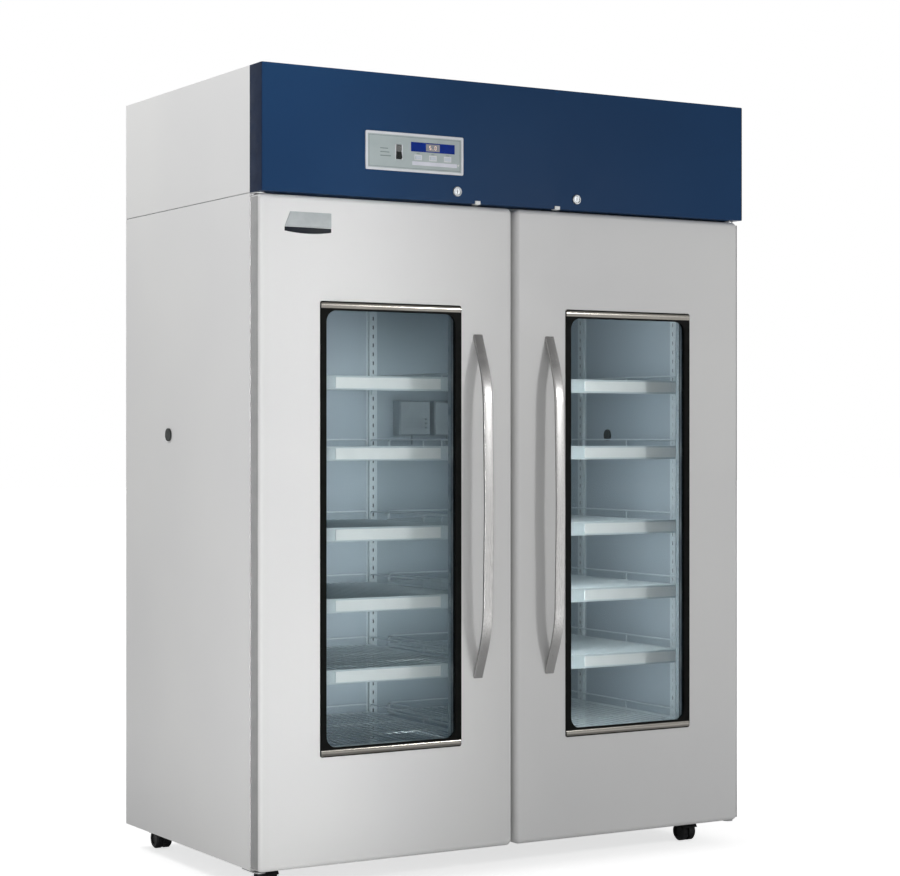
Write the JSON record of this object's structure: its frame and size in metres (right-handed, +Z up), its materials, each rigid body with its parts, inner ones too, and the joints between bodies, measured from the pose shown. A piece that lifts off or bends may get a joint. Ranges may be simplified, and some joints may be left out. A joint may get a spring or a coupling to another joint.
{
  "type": "pharmacy refrigerator",
  "caption": "Tall white two-door pharmacy refrigerator with glass windows, long bowed handles, a dark blue header with a small control panel, and casters.",
  "frame": {"origin": "on the floor, at the middle of the overall width and depth", "axes": "+Z up, front towards -Y, +X to the right of someone facing the front"},
  "size_m": [1.438, 0.8683, 1.98],
  "materials": {
    "white_painted_steel": "satin",
    "blue_painted_steel": "satin",
    "galvanised_steel": "satin",
    "stainless_steel": "satin",
    "brushed_handle_steel": "satin",
    "liner_steel": "satin",
    "foam": "matte",
    "black_plastic": "satin",
    "grey_seal_rubber": "matte",
    "window_glass": "gloss",
    "display_lens": "gloss",
    "silver_plastic": "satin",
    "white_plastic": "satin",
    "key_plastic": "satin",
    "switch_plastic": "gloss",
    "circuit_board": "satin",
    "chromed_lock": "polished",
    "lamp_lens": "gloss",
    "compressor_paint": "satin",
    "coil_aluminium": "satin",
    "copper_line": "satin",
    "black_rubber": "matte",
    "grey_wire": "satin",
    "fan_plastic": "satin"
  },
  "bodies": {
    "cabinet": {"side_panels": "white_painted_steel", "back_panel": "galvanised_steel", "base_pan": "galvanised_steel", "insulation_boards": "foam", "inner_liner": "liner_steel", "center_mullion": "liner_steel", "deck_plate": "galvanised_steel", "rear_grille": "galvanised_steel", "top_cover": "white_painted_steel", "header_fascia": "blue_painted_steel", "control_bezel": "silver_plastic", "display_window": "display_lens", "control_board": "circuit_board", "electrical_box": "white_plastic", "lock_housings": "chromed_lock", "door_sensors": "white_plastic", "compressor": "compressor_paint", "condenser_coil": "coil_aluminium", "condenser_fan_frame": "black_plastic", "refrigerant_lines": "copper_line", "drip_tray": "white_plastic", "evaporator_cover": "liner_steel", "evaporator_coil": "coil_aluminium", "lamp_bars": "lamp_lens", "temperature_probe": "white_plastic", "port_plugs": "black_rubber", "shelf_supports": "stainless_steel", "wire_shelves": "grey_wire", "label_holders": "white_plastic", "hinge_brackets": "stainless_steel", "power_inlet": "black_plastic", "caster_plates": "galvanised_steel"},
    "left_door": {"left_door_panel": "white_painted_steel", "left_door_insulation": "foam", "left_window_frame": "black_plastic", "left_glass_unit": "window_glass", "left_gasket": "grey_seal_rubber", "left_handle": "brushed_handle_steel"},
    "left_lock": {"left_lock_cylinder": "chromed_lock"},
    "right_door": {"right_door_panel": "white_painted_steel", "right_door_insulation": "foam", "right_window_frame": "black_plastic", "right_glass_unit": "window_glass", "right_gasket": "grey_seal_rubber", "right_handle": "brushed_handle_steel"},
    "right_lock": {"right_lock_cylinder": "chromed_lock"},
    "power_switch": {"power_rocker": "switch_plastic"},
    "set_key_body": {"set_key": "key_plastic"},
    "up_key_body": {"up_key": "key_plastic"},
    "down_key_body": {"down_key": "key_plastic"},
    "condenser_fan_rotor": {"condenser_fan": "fan_plastic"},
    "evaporator_fan_rotor": {"evaporator_fan": "fan_plastic"},
    "front_left_swivel": {"front_left_caster_fork": "black_plastic"},
    "front_left_wheels": {"front_left_caster_wheels": "black_rubber"},
    "front_right_swivel": {"front_right_caster_fork": "black_plastic"},
    "front_right_wheels": {"front_right_caster_wheels": "black_rubber"},
    "rear_left_swivel": {"rear_left_caster_fork": "black_plastic"},
    "rear_left_wheels": {"rear_left_caster_wheels": "black_rubber"},
    "rear_right_swivel": {"rear_right_caster_fork": "black_plastic"},
    "rear_right_wheels": {"rear_right_caster_wheels": "black_rubber"}
  },
  "joints": [
    {"name": "left_door_hinge", "type": "hinge", "parent": "cabinet", "child": "left_door", "pos_m": [-0.7, -0.35283, 0.066], "axis": [0, 0, -1], "range_deg": [0, 110]},
    {"name": "right_door_hinge", "type": "hinge", "parent": "cabinet", "child": "right_door", "pos_m": [0.7, -0.35283, 0.066], "axis": [0, 0, 1], "range_deg": [0, 110]},
    {"name": "left_lock_turn", "type": "hinge", "parent": "cabinet", "child": "left_lock", "pos_m": [-0.1785, -0.39583, 1.704], "axis": [0, -1, 0], "range_deg": [0, 90]},
    {"name": "right_lock_turn", "type": "hinge", "parent": "cabinet", "child": "right_lock", "pos_m": [0.1785, -0.39583, 1.704], "axis": [0, 1, 0], "range_deg": [0, 90]},
    {"name": "power_rocker_tilt", "type": "hinge", "parent": "cabinet", "child": "power_switch", "pos_m": [-0.345, -0.39083, 1.791], "axis": [1, 0, 0], "range_deg": [0, 16]},
    {"name": "set_key_press", "type": "slide", "parent": "cabinet", "child": "set_key_body", "axis": [0, 1, 0], "range_m": [0, 0.001], "stiffness_N_per_m": 400},
    {"name": "up_key_press", "type": "slide", "parent": "cabinet", "child": "up_key_body", "axis": [0, 1, 0], "range_m": [0, 0.001], "stiffness_N_per_m": 400},
    {"name": "down_key_press", "type": "slide", "parent": "cabinet", "child": "down_key_body", "axis": [0, 1, 0], "range_m": [0, 0.001], "stiffness_N_per_m": 400},
    {"name": "condenser_fan_spin", "type": "hinge", "parent": "cabinet", "child": "condenser_fan_rotor", "pos_m": [-0.06, 0.24717, 1.801], "axis": [0, 1, 0], "continuous": true},
    {"name": "evaporator_fan_spin", "type": "hinge", "parent": "cabinet", "child": "evaporator_fan_rotor", "pos_m": [-0.32, 0.16517, 1.5], "axis": [0, 0, 1], "continuous": true},
    {"name": "front_left_caster_swivel", "type": "hinge", "parent": "cabinet", "child": "front_left_swivel", "pos_m": [-0.633, -0.26883, 0.062], "axis": [0, 0, 1], "continuous": true},
    {"name": "front_left_wheel_roll", "type": "hinge", "parent": "front_left_swivel", "child": "front_left_wheels", "pos_m": [-0.633, -0.24883, 0.025], "axis": [1, 0, 0], "continuous": true},
    {"name": "front_right_caster_swivel", "type": "hinge", "parent": "cabinet", "child": "front_right_swivel", "pos_m": [0.633, -0.26883, 0.062], "axis": [0, 0, 1], "continuous": true},
    {"name": "front_right_wheel_roll", "type": "hinge", "parent": "front_right_swivel", "child": "front_right_wheels", "pos_m": [0.633, -0.24883, 0.025], "axis": [1, 0, 0], "continuous": true},
    {"name": "rear_left_caster_swivel", "type": "hinge", "parent": "cabinet", "child": "rear_left_swivel", "pos_m": [-0.633, 0.35917, 0.062], "axis": [0, 0, 1], "continuous": true},
    {"name": "rear_left_wheel_roll", "type": "hinge", "parent": "rear_left_swivel", "child": "rear_left_wheels", "pos_m": [-0.633, 0.37917, 0.025], "axis": [1, 0, 0], "continuous": true},
    {"name": "rear_right_caster_swivel", "type": "hinge", "parent": "cabinet", "child": "rear_right_swivel", "pos_m": [0.633, 0.35917, 0.062], "axis": [0, 0, 1], "continuous": true},
    {"name": "rear_right_wheel_roll", "type": "hinge", "parent": "rear_right_swivel", "child": "rear_right_wheels", "pos_m": [0.633, 0.37917, 0.025], "axis": [1, 0, 0], "continuous": true}
  ]
}
